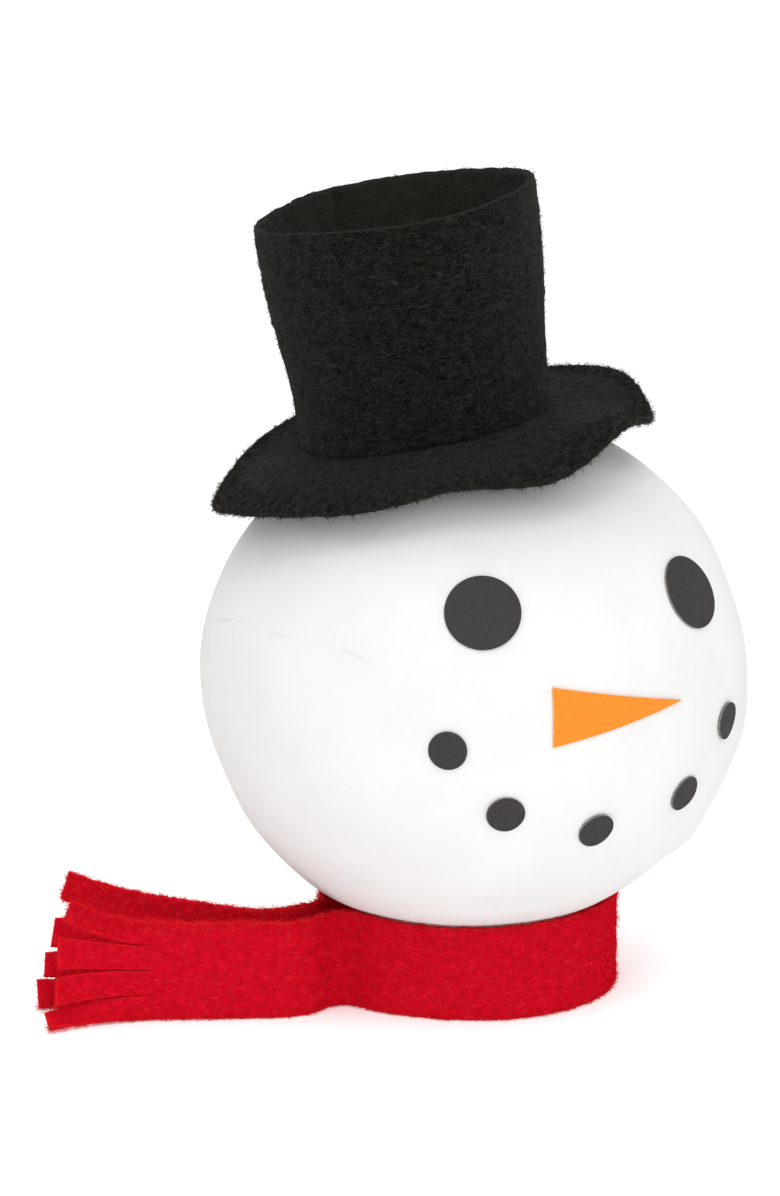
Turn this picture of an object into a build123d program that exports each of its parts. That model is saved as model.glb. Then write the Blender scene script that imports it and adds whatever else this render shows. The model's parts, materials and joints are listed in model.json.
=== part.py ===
from build123d import *

import os
from math import cos, radians, sin, sqrt

# Snowman head: a ball wound from white crepe strip that rests in a loop of red felt scarf, with an open
# black felt top hat, a face of glued card, and small gifts wound in between the turns.
#
# Millimetres, +Z up. The origin is on the ground under the centre of the ball. The face looks along -Y.

os.makedirs("parts", exist_ok=True)

# The ball: a slightly flattened winding that leans with the hat
BALL_RADIUS = 46.9
BALL_HALF_HEIGHT = 44.5
BALL_CENTRE_Z = 55.0
HEAD_LEAN = 9.5
HEAD_LEAN_TOWARDS = 157.0

# The winding, from the outside in
OUTER_WRAP_THICKNESS = 2.4
MIDDLE_WRAP_THICKNESS = 14.5
LAYER_GAP = 0.05
CORE_RADIUS = 15.9

# The face: punched card and cut paper, glued flat on the ball
CARD_THICKNESS = 0.35
CARD_REACH = 60.0
GLUE_LINE = 0.02
EYE_DIAMETER = 12.7
MOUTH_DOT_DIAMETER = 6.35
EYE_ANGLES = {"right_eye": (-28.1, 25.7), "left_eye": (27.1, 24.5)}
MOUTH_ANGLES = [(-35.1, -2.0), (-23.3, -15.9), (-2.3, -21.8), (22.0, -17.5), (35.0, -4.3)]
NOSE_CORNERS = [(-11.3, 8.3), (13.3, 3.3), (-11.5, -1.5)]

# Felt
FELT = 1.3

# The hat
BRIM_RADIUS = 37.6
BRIM_DOME_RADIUS = 130.0
BRIM_TOP_HEIGHT = 46.1
BRIM_LEAN = 10.5
BRIM_LEAN_TOWARDS = 176.0
CROWN_FOOT_CENTRE = (-7.9, 3.5, 97.6)
CROWN_LEAN = 7.3
CROWN_LEAN_TOWARDS = 159.0
CROWN_HEIGHT = 39.0
CROWN_FOOT_RADIUS = 21.8
CROWN_MIDDLE_RADIUS = 23.4
CROWN_RIM_RADIUS = 24.1
CROWN_FOOT_RISE = 1.2
GLUE_BEAD = 1.2
GLUE_RING_SPACE = 0.25

# The scarf: one felt strip on edge, laid out in a plan that is turned from the face
SCARF_TURN = -30.0
LOOP_RADIUS = 24.25
LOOP_HEIGHT = 15.8
TAIL_HEIGHT = 18.0
FRINGE_LENGTH = 16.0
FRINGE_CUTS = 3
FRINGE_CUT_WIDTH = 0.6
TAIL_END_X = -74.0


def direction(lean, towards):
    """The unit vector that leans from +Z by one angle, towards another angle from +X."""
    return Vector(
        sin(radians(lean)) * cos(radians(towards)),
        sin(radians(lean)) * sin(radians(towards)),
        cos(radians(lean)),
    )


def half_section(plane):
    """The plane that holds another plane's Z as its own Y, for profiles that are revolved."""
    return Plane(origin=plane.origin, x_dir=plane.x_dir, z_dir=-plane.y_dir)


def finish(part, name):
    """Label a finished piece and write it."""
    part.label = name
    export_step(part, f"parts/{name}.step")


BALL_CENTRE = Vector(0, 0, BALL_CENTRE_Z)
HEAD = Plane(origin=BALL_CENTRE, z_dir=direction(HEAD_LEAN, HEAD_LEAN_TOWARDS))
HEAD_AXIS = Axis(BALL_CENTRE, HEAD.z_dir)
BRIM = Plane(origin=BALL_CENTRE, z_dir=direction(BRIM_LEAN, BRIM_LEAN_TOWARDS))
CROWN = Plane(origin=CROWN_FOOT_CENTRE, z_dir=direction(CROWN_LEAN, CROWN_LEAN_TOWARDS))
CROWN_AXIS = Axis(CROWN.origin, CROWN.z_dir)
SCARF = Plane.XY.rotated((0, 0, SCARF_TURN))


# ---- The winding -----------------------------------------------------------------------------

# The ball's section is an oval of arcs that join at 45 degrees: this far out lie the arcs' centres
OVAL_SHIFT = (BALL_RADIUS - BALL_HALF_HEIGHT) / (2 - sqrt(2))


def winding(depth, mode=Mode.ADD):
    """Everything that lies deeper in the ball than a given depth, for the part being built."""
    pole_radius = BALL_HALF_HEIGHT + OVAL_SHIFT - depth
    side_radius = BALL_RADIUS - OVAL_SHIFT - depth
    with BuildSketch(half_section(HEAD)) as section:
        with BuildLine():
            underside = CenterArc((0, OVAL_SHIFT), pole_radius, -90, 45)
            CenterArc((OVAL_SHIFT, 0), side_radius, -45, 90)
            upperside = CenterArc((0, -OVAL_SHIFT), pole_radius, 45, 45)
            Line(upperside @ 1, underside @ 0)
        make_face()
    revolve(section.sketch, axis=HEAD_AXIS, mode=mode)


MIDDLE_WRAP_DEPTH = OUTER_WRAP_THICKNESS + LAYER_GAP
INNER_WRAP_DEPTH = MIDDLE_WRAP_DEPTH + MIDDLE_WRAP_THICKNESS + LAYER_GAP

with BuildPart() as crepe_outer_wrap:
    winding(0)
    winding(OUTER_WRAP_THICKNESS, mode=Mode.SUBTRACT)
finish(crepe_outer_wrap.part, "crepe_outer_wrap")

# Gifts: size, and where each lies in the winding, as angles about the head's axis and up from its middle
GIFT_SPACE = 0.2
MIDDLE_GIFT_RADIUS = BALL_HALF_HEIGHT - MIDDLE_WRAP_DEPTH - MIDDLE_WRAP_THICKNESS / 2
INNER_GIFT_RADIUS = 23.0
RING_RADIUS = 8.6
RING_WIRE_RADIUS = 1.1
DIE_SIZE = 9.0
DIE_ROUNDING = 1.0
PIP_RADIUS = 0.75
PIP_SPACING = 2.4
GEM_RADIUS = 6.0
GEM_FACETS = 8
GEM_TABLE_RADIUS = 3.4
GEM_CROWN_HEIGHT = 2.2
GEM_POINT_DEPTH = 5.0
GEM_POINT_RADIUS = 0.5
TOP_RADIUS = 5.4
TOP_LENGTH = 15.0
TOP_CONE_LENGTH = 6.8
TOP_BAND = 2.0
TOP_SHOULDER = 1.2
TOP_SPINDLE_RADIUS = 0.9
SCROLL_RADIUS = 2.5
SCROLL_LENGTH = 20.0
SCROLL_BORE_RADIUS = 0.9


def gift_plane(around, up, radius):
    """A plane inside the winding that faces outwards, at a distance from the ball's centre."""
    outwards = (
        HEAD.x_dir * (cos(radians(around)) * cos(radians(up)))
        + HEAD.y_dir * (sin(radians(around)) * cos(radians(up)))
        + HEAD.z_dir * sin(radians(up))
    )
    return Plane(origin=BALL_CENTRE + outwards * radius, z_dir=outwards)


RING_PLACE = gift_plane(40, 30, MIDDLE_GIFT_RADIUS)
DIE_PLACE = gift_plane(160, -10, MIDDLE_GIFT_RADIUS)
GEM_PLACE = gift_plane(280, 20, MIDDLE_GIFT_RADIUS)
TOP_PLACE = gift_plane(220, -45, MIDDLE_GIFT_RADIUS)
SCROLL_PLACE = gift_plane(100, 15, INNER_GIFT_RADIUS)


def lying(plane):
    """The same place with the plane's Z laid along its X, for long gifts that lie along the winding."""
    return Plane(origin=plane.origin, x_dir=plane.z_dir, z_dir=plane.x_dir)


with BuildPart() as crepe_middle_wrap:
    winding(MIDDLE_WRAP_DEPTH)
    winding(MIDDLE_WRAP_DEPTH + MIDDLE_WRAP_THICKNESS, mode=Mode.SUBTRACT)
    with Locations(RING_PLACE):
        Cylinder(
            RING_RADIUS + RING_WIRE_RADIUS + GIFT_SPACE,
            2 * (RING_WIRE_RADIUS + GIFT_SPACE),
            mode=Mode.SUBTRACT,
        )
    with Locations(DIE_PLACE):
        pocket_size = DIE_SIZE + 2 * GIFT_SPACE
        Box(pocket_size, pocket_size, pocket_size, mode=Mode.SUBTRACT)
    with Locations(GEM_PLACE):
        Cylinder(
            GEM_RADIUS + GIFT_SPACE,
            2 * GEM_POINT_DEPTH + 2 * GIFT_SPACE,
            mode=Mode.SUBTRACT,
        )
    with Locations(lying(TOP_PLACE)):
        Cylinder(TOP_RADIUS + GIFT_SPACE, TOP_LENGTH + 2 * GIFT_SPACE, mode=Mode.SUBTRACT)
finish(crepe_middle_wrap.part, "crepe_middle_wrap")

with BuildPart() as crepe_inner_wrap:
    winding(INNER_WRAP_DEPTH)
    with Locations(BALL_CENTRE):
        Sphere(CORE_RADIUS + LAYER_GAP, mode=Mode.SUBTRACT)
    with Locations(lying(SCROLL_PLACE)):
        Cylinder(SCROLL_RADIUS + GIFT_SPACE, SCROLL_LENGTH + 2 * GIFT_SPACE, mode=Mode.SUBTRACT)
finish(crepe_inner_wrap.part, "crepe_inner_wrap")

with BuildPart() as core_ball:
    with Locations(BALL_CENTRE):
        Sphere(CORE_RADIUS)
finish(core_ball.part, "core_ball")

# ---- The gifts -------------------------------------------------------------------------------

with BuildPart() as toy_ring:
    with Locations(RING_PLACE):
        Torus(RING_RADIUS, RING_WIRE_RADIUS)
finish(toy_ring.part, "toy_ring")

with BuildPart() as toy_die:
    with Locations(DIE_PLACE):
        Box(DIE_SIZE, DIE_SIZE, DIE_SIZE)
    fillet(toy_die.edges(), DIE_ROUNDING)
    with Locations(DIE_PLACE.offset(DIE_SIZE / 2)):
        with GridLocations(2 * PIP_SPACING, PIP_SPACING, 2, 3):
            Sphere(PIP_RADIUS, mode=Mode.SUBTRACT)
    with Locations(DIE_PLACE.offset(-DIE_SIZE / 2)):
        Sphere(PIP_RADIUS, mode=Mode.SUBTRACT)
finish(toy_die.part, "toy_die")

with BuildPart() as glass_gem:
    with BuildSketch(GEM_PLACE):
        RegularPolygon(GEM_RADIUS, GEM_FACETS)
    with BuildSketch(GEM_PLACE.offset(GEM_CROWN_HEIGHT)):
        RegularPolygon(GEM_TABLE_RADIUS, GEM_FACETS)
    loft(ruled=True)
    with BuildSketch(GEM_PLACE):
        RegularPolygon(GEM_RADIUS, GEM_FACETS)
    with BuildSketch(GEM_PLACE.offset(-GEM_POINT_DEPTH)):
        RegularPolygon(GEM_POINT_RADIUS, GEM_FACETS)
    loft(ruled=True)
finish(glass_gem.part, "glass_gem")

TOP_TIP = -TOP_LENGTH / 2
with BuildPart() as spinning_top:
    with BuildSketch(half_section(lying(TOP_PLACE))):
        with BuildLine():
            Polyline(
                (0, TOP_TIP),
                (TOP_RADIUS, TOP_TIP + TOP_CONE_LENGTH),
                (TOP_RADIUS, TOP_TIP + TOP_CONE_LENGTH + TOP_BAND),
                (TOP_SPINDLE_RADIUS, TOP_TIP + TOP_CONE_LENGTH + TOP_BAND + TOP_SHOULDER),
                (TOP_SPINDLE_RADIUS, TOP_TIP + TOP_LENGTH),
                (0, TOP_TIP + TOP_LENGTH),
                close=True,
            )
        make_face()
    revolve(axis=Axis(TOP_PLACE.origin, lying(TOP_PLACE).z_dir))
finish(spinning_top.part, "spinning_top")

with BuildPart() as paper_scroll:
    with Locations(lying(SCROLL_PLACE)):
        Cylinder(SCROLL_RADIUS, SCROLL_LENGTH)
        Cylinder(SCROLL_BORE_RADIUS, SCROLL_LENGTH, mode=Mode.SUBTRACT)
finish(paper_scroll.part, "paper_scroll")

# ---- The face --------------------------------------------------------------------------------

def punched_dot(name, diameter, longitude, latitude):
    """A card disc on the ball, at angles from the front: to the wearer's left, and up."""
    outwards = Vector(
        sin(radians(longitude)) * cos(radians(latitude)),
        -cos(radians(longitude)) * cos(radians(latitude)),
        sin(radians(latitude)),
    )
    with BuildPart() as dot:
        with BuildSketch(Plane(origin=BALL_CENTRE, z_dir=outwards)):
            Circle(diameter / 2)
        extrude(amount=CARD_REACH)
        winding(-GLUE_LINE - CARD_THICKNESS, mode=Mode.INTERSECT)
        winding(-GLUE_LINE, mode=Mode.SUBTRACT)
    finish(dot.part, name)


for eye_name, eye_angles in EYE_ANGLES.items():
    punched_dot(eye_name, EYE_DIAMETER, *eye_angles)
for number, dot_angles in enumerate(MOUTH_ANGLES, start=1):
    punched_dot(f"mouth_dot_{number}", MOUTH_DOT_DIAMETER, *dot_angles)

with BuildPart() as nose:
    with BuildSketch(Plane(origin=BALL_CENTRE, x_dir=(1, 0, 0), z_dir=(0, -1, 0))):
        Polygon(*NOSE_CORNERS, align=None)
    extrude(amount=CARD_REACH)
    winding(-GLUE_LINE - CARD_THICKNESS, mode=Mode.INTERSECT)
    winding(-GLUE_LINE, mode=Mode.SUBTRACT)
finish(nose.part, "nose")

# ---- The hat ---------------------------------------------------------------------------------

DOME_CENTRE = BRIM.origin + BRIM.z_dir * (BRIM_TOP_HEIGHT - BRIM_DOME_RADIUS)

with BuildPart() as hat_brim:
    with Locations(DOME_CENTRE):
        Sphere(BRIM_DOME_RADIUS)
        Sphere(BRIM_DOME_RADIUS - FELT, mode=Mode.SUBTRACT)
    with Locations(BRIM.offset(BRIM_TOP_HEIGHT)):
        Cylinder(BRIM_RADIUS, BRIM_TOP_HEIGHT, mode=Mode.INTERSECT)
finish(hat_brim.part, "hat_brim")

CROWN_BELOW_FOOT = 4.0
with BuildPart() as hat_crown:
    with BuildSketch(half_section(CROWN)):
        with BuildLine():
            outside = Spline(
                (CROWN_FOOT_RADIUS, -CROWN_BELOW_FOOT),
                (CROWN_FOOT_RADIUS, 0),
                (CROWN_MIDDLE_RADIUS, CROWN_HEIGHT / 2),
                (CROWN_RIM_RADIUS, CROWN_HEIGHT),
            )
            rim = Line(outside @ 1, (outside @ 1) - Vector(FELT, 0))
            inside = Spline(
                rim @ 1,
                (CROWN_MIDDLE_RADIUS - FELT, CROWN_HEIGHT / 2),
                (CROWN_FOOT_RADIUS - FELT, 0),
                (CROWN_FOOT_RADIUS - FELT, -CROWN_BELOW_FOOT),
            )
            Line(inside @ 1, outside @ 0)
        make_face()
    revolve(axis=CROWN_AXIS)
    with Locations(DOME_CENTRE):
        Sphere(BRIM_DOME_RADIUS, mode=Mode.SUBTRACT)
finish(hat_crown.part, "hat_crown")

GLUE_RING_RADIUS = CROWN_FOOT_RADIUS - FELT - GLUE_RING_SPACE
with BuildPart() as crown_glue_ring:
    with Locations(Plane(origin=CROWN.origin + CROWN.z_dir * CROWN_FOOT_RISE, z_dir=BRIM.z_dir)):
        Cylinder(GLUE_RING_RADIUS, 2 * GLUE_BEAD)
        Cylinder(GLUE_RING_RADIUS - GLUE_BEAD, 2 * GLUE_BEAD, mode=Mode.SUBTRACT)
    with Locations(DOME_CENTRE):
        Sphere(BRIM_DOME_RADIUS, mode=Mode.SUBTRACT)
finish(crown_glue_ring.part, "crown_glue_ring")

# ---- The scarf -------------------------------------------------------------------------------

# Where the strip leaves the pinch: the pivot of each tail, on the middle of the felt
FRONT_PIVOT = (-24.6, -17.5)
BACK_PIVOT = (-25.5, -14.6)
FRONT_STUB = (-23.9, -16.85)
BACK_STUB = (-24.55, -14.6)
PINCH_TURN_RADIUS = 1.6
FRONT_ARC_START = 250.0
BACK_ARC_END = 135.0
GLUE_SPOT = (-23.3, -15.35)
GLUE_SPOT_HALF_WIDTH = 0.8
GLUE_SPOT_HALF_DEPTH = 0.9
GLUE_SPOT_FOOT = 3.2
GLUE_SPOT_LENGTH = 9.5

with BuildPart() as scarf_loop:
    with BuildSketch(SCARF):
        with BuildLine():
            round_part = CenterArc(
                (0, 0), LOOP_RADIUS, FRONT_ARC_START, 360 + BACK_ARC_END - FRONT_ARC_START
            )
            Spline(
                FRONT_STUB,
                (-21.8, -16.2),
                (-17.0, -19.4),
                round_part @ 0,
                tangents=[(0.9, 0.35), round_part % 0],
            )
            pinch_turn = CenterArc(
                (BACK_STUB[0], BACK_STUB[1] + PINCH_TURN_RADIUS), PINCH_TURN_RADIUS, 0, -90
            )
            Spline(
                round_part @ 1,
                (-22.6, 12.0),
                (-25.6, 5.5),
                (-26.0, -1.0),
                (-24.6, -7.5),
                pinch_turn @ 0,
                tangents=[round_part % 1, (0, -1)],
            )
        trace(line_width=FELT)
    extrude(amount=LOOP_HEIGHT)
finish(scarf_loop.part, "scarf_loop")

with BuildPart() as scarf_glue_bead:
    with BuildSketch(SCARF.offset(GLUE_SPOT_FOOT)):
        with Locations(GLUE_SPOT):
            Ellipse(GLUE_SPOT_HALF_WIDTH, GLUE_SPOT_HALF_DEPTH)
    extrude(amount=GLUE_SPOT_LENGTH)
    add(scarf_loop.part, mode=Mode.SUBTRACT)
finish(scarf_glue_bead.part, "scarf_glue_bead")


def felt_tail(name, foot_line, top_line):
    """A tail of the strip, from its pivot to its fringed end, between its line on the ground and on top."""
    with BuildPart() as tail:
        for height, points in ((0, foot_line), (TAIL_HEIGHT, top_line)):
            with BuildSketch(SCARF.offset(height)):
                with BuildLine():
                    Spline(*points)
                trace(line_width=FELT)
        loft(ruled=True)
        side = Plane(origin=(0, 0, 0), x_dir=SCARF.x_dir, z_dir=-SCARF.y_dir)
        with BuildSketch(side):
            for cut in range(1, FRINGE_CUTS + 1):
                with Locations((TAIL_END_X, cut * TAIL_HEIGHT / (FRINGE_CUTS + 1))):
                    Rectangle(2 * FRINGE_LENGTH, FRINGE_CUT_WIDTH)
        extrude(amount=2 * LOOP_RADIUS, mode=Mode.SUBTRACT)
    finish(tail.part, name)


felt_tail(
    "scarf_front_tail",
    [FRONT_PIVOT, (-29.5, -22.2), (-37.6, -23.9), (-56.0, -25.6), (TAIL_END_X, -31.4)],
    [FRONT_PIVOT, (-29.5, -22.0), (-37.6, -23.3), (-56.0, -24.6), (TAIL_END_X, -26.0)],
)
felt_tail(
    "scarf_back_tail",
    [BACK_PIVOT, (-31.5, -15.8), (-40.0, -18.0), (-56.0, -18.6), (TAIL_END_X, -20.0)],
    [BACK_PIVOT, (-31.5, -15.4), (-40.0, -16.6), (-56.0, -12.6), (TAIL_END_X, -8.0)],
)
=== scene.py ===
"""Snowman head in a loop of red felt scarf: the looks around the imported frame.

Shapes are worked out in millimetres and made in metres. The ball, the card face and the hat share the
head's own axes; the scarf has a plan of its own, turned from the face.
"""

import json
from math import cos, pi, radians, sin

import bpy
import numpy as np
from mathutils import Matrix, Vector


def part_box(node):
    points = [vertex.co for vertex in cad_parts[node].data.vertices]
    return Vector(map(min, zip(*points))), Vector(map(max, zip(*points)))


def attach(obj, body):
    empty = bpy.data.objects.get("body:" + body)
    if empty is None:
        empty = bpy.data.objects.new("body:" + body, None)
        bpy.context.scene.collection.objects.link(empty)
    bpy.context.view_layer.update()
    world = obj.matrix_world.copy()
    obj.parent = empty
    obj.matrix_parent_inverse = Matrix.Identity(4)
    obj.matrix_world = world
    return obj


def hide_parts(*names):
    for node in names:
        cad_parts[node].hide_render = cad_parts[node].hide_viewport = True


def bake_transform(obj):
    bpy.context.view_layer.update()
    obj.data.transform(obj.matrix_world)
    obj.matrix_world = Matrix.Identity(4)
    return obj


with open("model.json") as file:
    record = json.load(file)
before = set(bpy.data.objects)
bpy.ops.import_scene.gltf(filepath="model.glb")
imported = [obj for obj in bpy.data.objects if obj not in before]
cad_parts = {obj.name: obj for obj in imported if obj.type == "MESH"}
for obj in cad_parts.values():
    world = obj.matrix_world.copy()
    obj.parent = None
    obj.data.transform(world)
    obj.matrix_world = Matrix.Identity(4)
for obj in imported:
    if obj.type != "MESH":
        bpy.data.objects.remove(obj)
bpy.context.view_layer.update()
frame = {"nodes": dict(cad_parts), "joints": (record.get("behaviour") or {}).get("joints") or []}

MM = 0.001


def unit(vectors):
    """The same vectors at length one."""
    vectors = np.asarray(vectors, float)
    return vectors / np.linalg.norm(vectors, axis=-1, keepdims=True)


def joint(name):
    return next(j for j in frame["joints"] if j["name"] == name)


def middle_mm(node):
    low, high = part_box(node)
    return np.array((low + high) / 2) / MM


# ---- The head's own axes, from the frame ----

BALL_CENTRE = middle_mm("crepe_outer_wrap")
HEAD_UP = unit(joint("head_turn")["axis"])
# The hat's angles go round the head's axis from the side that is nearest to this way
HAT_SIDE = (0.875, -0.484, 0.0)
HAT_RIGHT = unit(np.cross(np.cross(HEAD_UP, HAT_SIDE), HEAD_UP))
HAT_BACK = np.cross(HEAD_UP, HAT_RIGHT)

# ---- Dimensions, millimetres ----

BALL_RADIUS = 46.9
BALL_HALF_HEIGHT = 44.5
OUTER_WRAP = 2.2
CARD = 0.35
FELT = 1.3

# ---- Small tools ----


def ripple(points, wavelength, seed, waves=28):
    """Smooth random bumps of about unit height over points, from waves in random directions."""
    draw = np.random.default_rng(seed)
    ways = unit(draw.normal(size=(waves, 3))) * (2 * pi / wavelength)
    ways *= draw.uniform(0.7, 1.4, size=(waves, 1))
    phases = draw.uniform(0, 2 * pi, waves)
    total = np.zeros(points.shape[:-1])
    for way, phase in zip(ways, phases):
        total += np.cos(points @ way + phase)
    return total / np.sqrt(waves / 2)


def smooth_step(value, low, high):
    """A value turned into 0 below low and 1 above high, smoothly."""
    t = np.clip((value - low) / (high - low), 0, 1)
    return t * t * (3 - 2 * t)


def spline(knots, points, at):
    """The natural cubic spline through points at their knots, read at other places."""
    knots, points = np.asarray(knots, float), np.asarray(points, float)
    gaps = np.diff(knots)
    count = len(knots)
    system = np.eye(count)
    bends = np.zeros((count,) + points.shape[1:])
    slopes = (np.diff(points, axis=0).T / gaps).T
    for k in range(1, count - 1):
        system[k, k - 1 : k + 2] = gaps[k - 1], 2 * (gaps[k - 1] + gaps[k]), gaps[k]
        bends[k] = 6 * (slopes[k] - slopes[k - 1])
    bends = np.linalg.solve(system, bends)
    at = np.asarray(at, float)
    k = np.clip(np.searchsorted(knots, at) - 1, 0, count - 2)
    gap = gaps[k]
    after, before = at - knots[k], knots[k + 1] - at
    if points.ndim == 2:
        gap, after, before = gap[..., None], after[..., None], before[..., None]
    return (
        (bends[k] * before**3 + bends[k + 1] * after**3) / (6 * gap)
        + (points[k] / gap - bends[k] * gap / 6) * before
        + (points[k + 1] / gap - bends[k + 1] * gap / 6) * after
    )


def round_trip(angles, values, at):
    """A closed smooth curve of a value by angle in degrees."""
    around = [a + turn for turn in (-360, 0, 360) for a in angles]
    return spline(around, list(values) * 3, np.mod(at, 360))


SHARP_ANGLE = radians(55)


def linked_mesh(name, points, faces, material):
    mesh = bpy.data.meshes.new(name)
    mesh.from_pydata((points * MM).tolist(), [], faces)
    mesh.materials.append(material)
    mesh.shade_smooth()
    obj = bpy.data.objects.new(name, mesh)
    bpy.context.scene.collection.objects.link(obj)
    return obj


def mesh_object(name, points, faces, material):
    """A mesh from points in millimetres; faces may repeat a point where the grid closes up."""
    kept = []
    for face in faces:
        corners = tuple(dict.fromkeys(int(c) for c in face))
        if len(corners) > 2:
            kept.append(corners)
    used = np.unique(np.concatenate([np.array(f) for f in kept]))
    place = np.full(len(points), -1)
    place[used] = np.arange(len(used))
    obj = linked_mesh(name, points[used], [tuple(place[list(f)]) for f in kept], material)
    obj.data.set_sharp_from_angle(angle=SHARP_ANGLE)
    return obj


def set_vectors(obj, name, values, domain="POINT"):
    """Keep one vector per point, or per face corner, for the materials to read."""
    attribute = obj.data.attributes.new(name, "FLOAT_VECTOR", domain)
    attribute.data.foreach_set("vector", np.asarray(values, np.float32).ravel())


# ---- Materials ----


SWIRL_SCALE = 0.35


class Finish:
    """A Principled material with a few short ways to add procedural nodes to it."""

    def __init__(self, name, roughness, **sockets):
        self.material = bpy.data.materials.new(name)
        self.material.use_nodes = True
        self.tree = self.material.node_tree
        self.shader = self.tree.nodes["Principled BSDF"]
        self.shader.inputs["Roughness"].default_value = roughness
        for socket, value in sockets.items():
            self.shader.inputs[socket.replace("_", " ")].default_value = value

    def node(self, kind, **inputs):
        made = self.tree.nodes.new("ShaderNode" + kind)
        for name, value in inputs.items():
            self.put(made.inputs[name.replace("_", " ")], value)
        return made

    def put(self, socket, value):
        if isinstance(value, bpy.types.NodeSocket):
            self.tree.links.new(value, socket)
        else:
            socket.default_value = value

    def stored(self, attribute):
        """A vector that set_vectors has kept on the mesh."""
        source = self.node("Attribute")
        source.attribute_name = attribute
        return source.outputs["Vector"]

    def parts(self, attribute):
        return self.node("SeparateXYZ", Vector=self.stored(attribute)).outputs

    def place(self, attribute=None, stretch=(1, 1, 1), turn=0.0, warp=0.0):
        """Millimetres on the piece: its own place, or a stored attribute, stretched, turned and warped."""
        if attribute:
            place = self.stored(attribute)
        else:
            place = self.node("TexCoord").outputs["Object"]
            place = self.node("Mapping", Vector=place, Scale=(1 / MM, 1 / MM, 1 / MM)).outputs[0]
        if warp:
            swirl = self.noise(place, SWIRL_SCALE, detail=2, output="Color")
            place = self.math("MULTIPLY_ADD", swirl, (warp, warp, warp), place, kind="VectorMath")
        turned = self.node("Mapping", Vector=place, Rotation=(0, 0, turn))
        return self.node("Mapping", Vector=turned.outputs[0], Scale=stretch).outputs[0]

    def noise(self, place, scale, detail=3.0, roughness=0.55, output="Fac"):
        made = self.node("TexNoise", Vector=place, Scale=scale, Detail=detail, Roughness=roughness)
        return made.outputs[output]

    def between(self, value, low, high):
        """A value turned into 0 below low and 1 above high."""
        made = self.node("MapRange", Value=value, From_Min=low, From_Max=high)
        made.interpolation_type = "SMOOTHSTEP"
        return made.outputs[0]

    def math(self, operation, *values, kind="Math"):
        made = self.node(kind)
        made.operation = operation
        for socket, value in zip(made.inputs, values):
            self.put(socket, value)
        return made.outputs[0]

    def mix(self, factor, first, second):
        made = self.node("Mix")
        made.data_type = "RGBA"
        self.put(made.inputs["Factor"], factor)
        for socket, value in ((made.inputs[6], first), (made.inputs[7], second)):
            self.put(socket, value if isinstance(value, bpy.types.NodeSocket) else (*value, 1.0))
        return made.outputs[2]

    def colour(self, value):
        self.put(self.shader.inputs["Base Color"], value)

    def bump(self, height, distance):
        """Relief from a height of 0 to 1, with a distance in millimetres."""
        made = self.node("Bump", Height=height, Strength=1.0, Distance=distance * MM)
        self.put(self.shader.inputs["Normal"], made.outputs[0])


# Layers of fibres in felt: the way each lies, in radians, and the noise level above which a fibre shows
FIBRE_LAYERS = ((0.0, 0.50), (0.75, 0.56), (-0.85, 0.56))
FIBRE_FADE = 0.2
FIBRE_SHARE = 0.6
# A felt's under side keeps its "felt" vectors this far from those of its upper side
UNDER_SIDE = (37.0, 19.0, 5.0)


def felt_finish(name, deep, body, fibre, painted_edge_highlight, painted_under_light, depth, **sockets):
    """Needled felt: long wavy fibres, mostly along the cloth, over a softly mottled body.

    The cut edge gets a painted highlight in a lighter colour, and the under side is painted paler by a
    share, painted light for the lit inside of the crown.
    """
    finish = Finish(name, 0.95, **sockets)
    fibres = None
    for turn, least in FIBRE_LAYERS:
        along = finish.place("felt", stretch=(0.5, 4.8, 1.0), turn=turn, warp=2.6)
        streaks = finish.between(finish.noise(along, 1.0, detail=2), least, least + FIBRE_FADE)
        fibres = streaks if fibres is None else finish.math("MAXIMUM", fibres, streaks)
    fibres_in = finish.math("MULTIPLY", fibres, FIBRE_SHARE)
    clumps = finish.noise(finish.place("felt", warp=1.5), 0.7, detail=4, roughness=0.6)
    base = finish.mix(finish.between(clumps, 0.3, 0.7), deep, body)
    cloth = finish.mix(fibres_in, base, fibre)
    # Painted light: the under side, the crown's inside, is mixed towards the paler fibre colour as if lit
    # from above
    under = finish.between(finish.parts("felt")["Z"], 0.2 * UNDER_SIDE[2], 0.8 * UNDER_SIDE[2])
    cloth = finish.mix(finish.math("MULTIPLY", under, painted_under_light), cloth, fibre)
    # Painted highlight: the cut edge's lighter colour stands in for light caught along the edge
    finish.colour(finish.mix(finish.between(finish.parts("cut")["X"], 0.55, 0.98), painted_edge_highlight, cloth))
    finish.bump(finish.math("ADD", fibres_in, clumps), depth)
    return finish.material


def fibre_finish(name, colour, light, **sockets):
    """The loose fibres of the felt, one tone to the next along the surface."""
    finish = Finish(name, 0.8, **sockets)
    tone = finish.between(finish.noise(finish.place(), 0.8, detail=1), 0.4, 0.7)
    finish.colour(finish.mix(tone, colour, light))
    return finish.material


# How far the painted shade of the fold and of the creases goes towards the shadow colour, in shares, and
# the painted fold line's half width in millimetres
PAINTED_FOLD_SHADE, PAINTED_CREASE_SHADE = 0.22, 0.08
FOLD_SHADE_WIDTH = (0.04, 0.30)


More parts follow.
